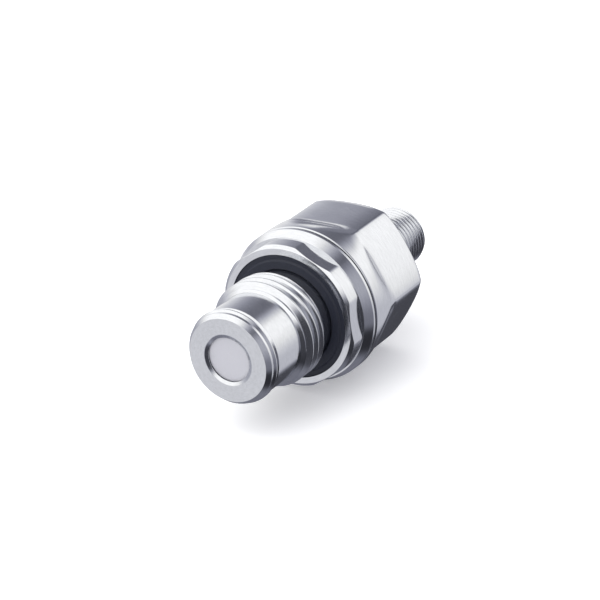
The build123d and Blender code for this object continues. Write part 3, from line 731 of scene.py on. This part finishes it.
def grained(name, base, metallic, roughness, grain, change, depth, specular):
    """Plain moulded, fired or plated surface with a fine grain."""
    material, nodes, shader = new_material(name, base, metallic, roughness)
    shader.inputs["Specular IOR Level"].default_value = specular
    place = nodes.add("ShaderNodeTexCoord").outputs["Object"]
    speck = nodes.noise(place, grain)
    nodes.put(shader.inputs["Base Color"],
              nodes.blend(nodes.spread(speck, 0.0, 1.0), shade(base, 1 - change), shade(base, 1 + change)))
    nodes.put(shader.inputs["Roughness"],
              nodes.spread(speck, roughness - GRAIN_SHEEN, roughness + GRAIN_SHEEN))
    nodes.put(shader.inputs["Normal"], nodes.bump(speck, GRAIN_BUMP, depth))
    return material


def make_materials():
    made = {"turned_steel": steel()}
    for finish in GRAINED:
        made[finish[0]] = grained(*finish)
    return made


def dress_solids():
    """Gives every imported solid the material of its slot."""
    slots = {entry["node"]: entry["material_slot"] for entry in frame["record"]["subparts"]}
    for name, node in frame["nodes"].items():
        node.data.materials.clear()
        node.data.materials.append(MATERIALS[slots[name]])


# Floor and backdrop

FLOOR_Z = -SHELL_R * MM
FLOOR_HALF = 4.0
FLOOR_COLOUR = (0.93, 0.93, 0.935)
FLOOR_ROUGHNESS = 0.9
FLOOR_GLOW = 0.25           # softens the shadow under the part
BACKDROP_R = 2.5            # near enough to hide where the floor ends
BACKDROP_SEGMENTS, BACKDROP_RINGS = 48, 24


def stage_piece(name, mesh, colour, roughness, glow):
    """Staged object that shines by itself and shows in no reflection."""
    material, _, shader = new_material(name, colour, 0.0, roughness)
    shader.inputs["Emission Color"].default_value = (1.0, 1.0, 1.0, 1.0)
    shader.inputs["Emission Strength"].default_value = glow
    mesh.materials.append(material)
    piece = link_new(name, mesh)
    piece.visible_glossy = False
    return piece


def make_floor():
    mesh = bpy.data.meshes.new("floor")
    h = FLOOR_HALF
    mesh.from_pydata([(-h, -h, FLOOR_Z), (h, -h, FLOOR_Z), (h, h, FLOOR_Z), (-h, h, FLOOR_Z)], [],
                     [(0, 1, 2, 3)])
    stage_piece("floor", mesh, FLOOR_COLOUR, FLOOR_ROUGHNESS, FLOOR_GLOW)


def make_backdrop():
    """Plain pale dome behind the part, which lights nothing and casts no shadow."""
    mesh = bpy.data.meshes.new("backdrop")
    dome = bmesh.new()
    bmesh.ops.create_uvsphere(dome, u_segments=BACKDROP_SEGMENTS, v_segments=BACKDROP_RINGS,
                              radius=BACKDROP_R)
    dome.to_mesh(mesh)
    dome.free()
    backdrop = stage_piece("backdrop", mesh, (0.0, 0.0, 0.0), 1.0, 1.0)
    backdrop.visible_diffuse = False
    backdrop.visible_transmission = False
    backdrop.visible_shadow = False


# Studio light

# Walls of the studio, as bands that run round the axis. Each has its brightness, then four turns
# from the top toward +X in degrees: where the band begins, is full, starts to fade, and is gone.
FRONT_BASE = 0.21
FRONT_BANDS = (
    (0.45, -165, -100, -60, -50),   # grey wall on the left
    (0.12, 0, 10, 34, 48),          # dark gap beside the softbox
    (1.22, -98, -62, -12, 38),      # softbox overhead
    (0.46, 34, 62, 75, 112),        # dim wall on the right
    (0.03, 117, 131, 150, 170),     # dark table edge
)
BACK_BASE = 0.07
BACK_BANDS = (
    (0.16, -60, -20, 15, 30),       # dark wall overhead
    (0.88, -129, -113, -113, -8),   # light from the left
    (0.58, 60, 90, 152, 168),       # lit floor on the right
    (1.12, 2, 44, 62, 128),         # white wall on the right
)
FAR_WALL = 0.24             # straight behind, left of the axis
FAR_LIGHT = 0.95            # narrow light high on that wall
CAMERA_WALL_DARK = 0.06     # the right half of the wall behind the camera
CAMERA_WALL_LIT = 0.72      # its left half
CAMERA_WALL_HIGH = 1.20     # above the axis
DARK_TINT = (0.92, 0.94, 1.14, 1.0)
NO_TINT = (1.0, 1.0, 1.0, 1.0)
TINT_GOES = (0.2, 0.9)      # brightness at which the tint starts to go, and is gone

# Where each wall starts and is full, as shares of +Y, +X or +Z in a direction
BACK_ALONG = (0.52, 0.74)
FAR_ALONG = (0.80, 0.85)
FAR_ACROSS = (0.0, -0.2)
FAR_LIGHT_UP = (0.08, 0.18)
FAR_LIGHT_ACROSS = (-0.36, -0.44)
CAMERA_WALL_ALONG = (-0.45, -0.65)
CAMERA_WALL_ACROSS = (0.15, -0.15)
CAMERA_WALL_UP = (0.0, 0.3)

LAMP_PLACE = (-0.2, -0.1, 0.9)
LAMP_SIZE = 2.2
LAMP_POWER = 12.0


class Studio:
    """World shader that paints the studio's walls by direction."""

    def __init__(self):
        world = bpy.data.worlds.new("studio")
        bpy.context.scene.world = world
        world.use_nodes = True
        self.nodes = Nodes(world.node_tree)
        self.background = world.node_tree.nodes["Background"]
        direction = self.nodes.add("ShaderNodeTexCoord").outputs["Generated"]
        self.across, self.along, self.up = self.nodes.add("ShaderNodeSeparateXYZ", {0: direction}).outputs
        self.turn = self.nodes.times(self.nodes.math("ARCTAN2", self.across, self.up), math.degrees(1))

    def step(self, value, start, end):
        """Soft step from 0 to 1 as a value goes from start to end."""
        return self.nodes.add("ShaderNodeMapRange", {"Value": value, "From Min": start, "From Max": end},
                              interpolation_type="SMOOTHSTEP").outputs[0]

    def mix(self, share, a, b):
        return self.nodes.add("ShaderNodeMix", {"Factor": share, "A": a, "B": b}).outputs["Result"]

    def walls(self, base, bands):
        """Brightness round the axis, each band laid over those before it."""
        level = base
        for brightness, begins, full, fades, gone in bands:
            mask = self.nodes.times(self.step(self.turn, begins, full), self.step(self.turn, gone, fades))
            level = self.mix(mask, level, brightness)
        return level

    def far_wall(self):
        """Share and brightness of the wall straight behind."""
        share = self.nodes.times(self.step(self.along, *FAR_ALONG), self.step(self.across, *FAR_ACROSS))
        lit = self.nodes.times(self.step(self.up, *FAR_LIGHT_UP), self.step(self.across, *FAR_LIGHT_ACROSS))
        return share, self.mix(lit, FAR_WALL, FAR_LIGHT)

    def camera_wall(self):
        """Brightness of the wall behind the camera."""
        level = self.mix(self.step(self.across, *CAMERA_WALL_ACROSS), CAMERA_WALL_DARK, CAMERA_WALL_LIT)
        return self.mix(self.step(self.up, *CAMERA_WALL_UP), level, CAMERA_WALL_HIGH)

    def finish(self):
        """Joins the walls, tints the dark ones, and sends the result to the background."""
        level = self.mix(self.step(self.along, *BACK_ALONG),
                         self.walls(FRONT_BASE, FRONT_BANDS), self.walls(BACK_BASE, BACK_BANDS))
        far_share, far_level = self.far_wall()
        level = self.mix(far_share, level, far_level)
        level = self.mix(self.step(self.along, *CAMERA_WALL_ALONG), level, self.camera_wall())
        tint = self.nodes.blend(self.nodes.scaled(level, *TINT_GOES, 0.0, 1.0), DARK_TINT, NO_TINT)
        colour = self.nodes.add("ShaderNodeVectorMath", {0: tint, "Scale": level}, operation="SCALE")
        self.nodes.put(self.background.inputs["Color"], colour.outputs[0])


def make_lamp():
    """Large soft lamp overhead for the floor and the dull pieces, not seen in the steel."""
    data = bpy.data.lights.new("soft_lamp", "AREA")
    data.shape = "SQUARE"
    data.size = LAMP_SIZE
    data.energy = LAMP_POWER
    lamp = link_new("soft_lamp", data)
    lamp.location = LAMP_PLACE
    lamp.rotation_euler = Vector(LAMP_PLACE).to_track_quat("Z", "Y").to_euler()
    lamp.visible_glossy = False


bpy.context.scene.view_settings.view_transform = "Standard"
MATERIALS = make_materials()
make_camera()
dress_solids()
make_fitting()
make_housing()
make_sleeve()
make_thread_seal()
make_lip_seal()
make_diaphragm()
make_floor()
make_backdrop()
make_lamp()
Studio().finish()
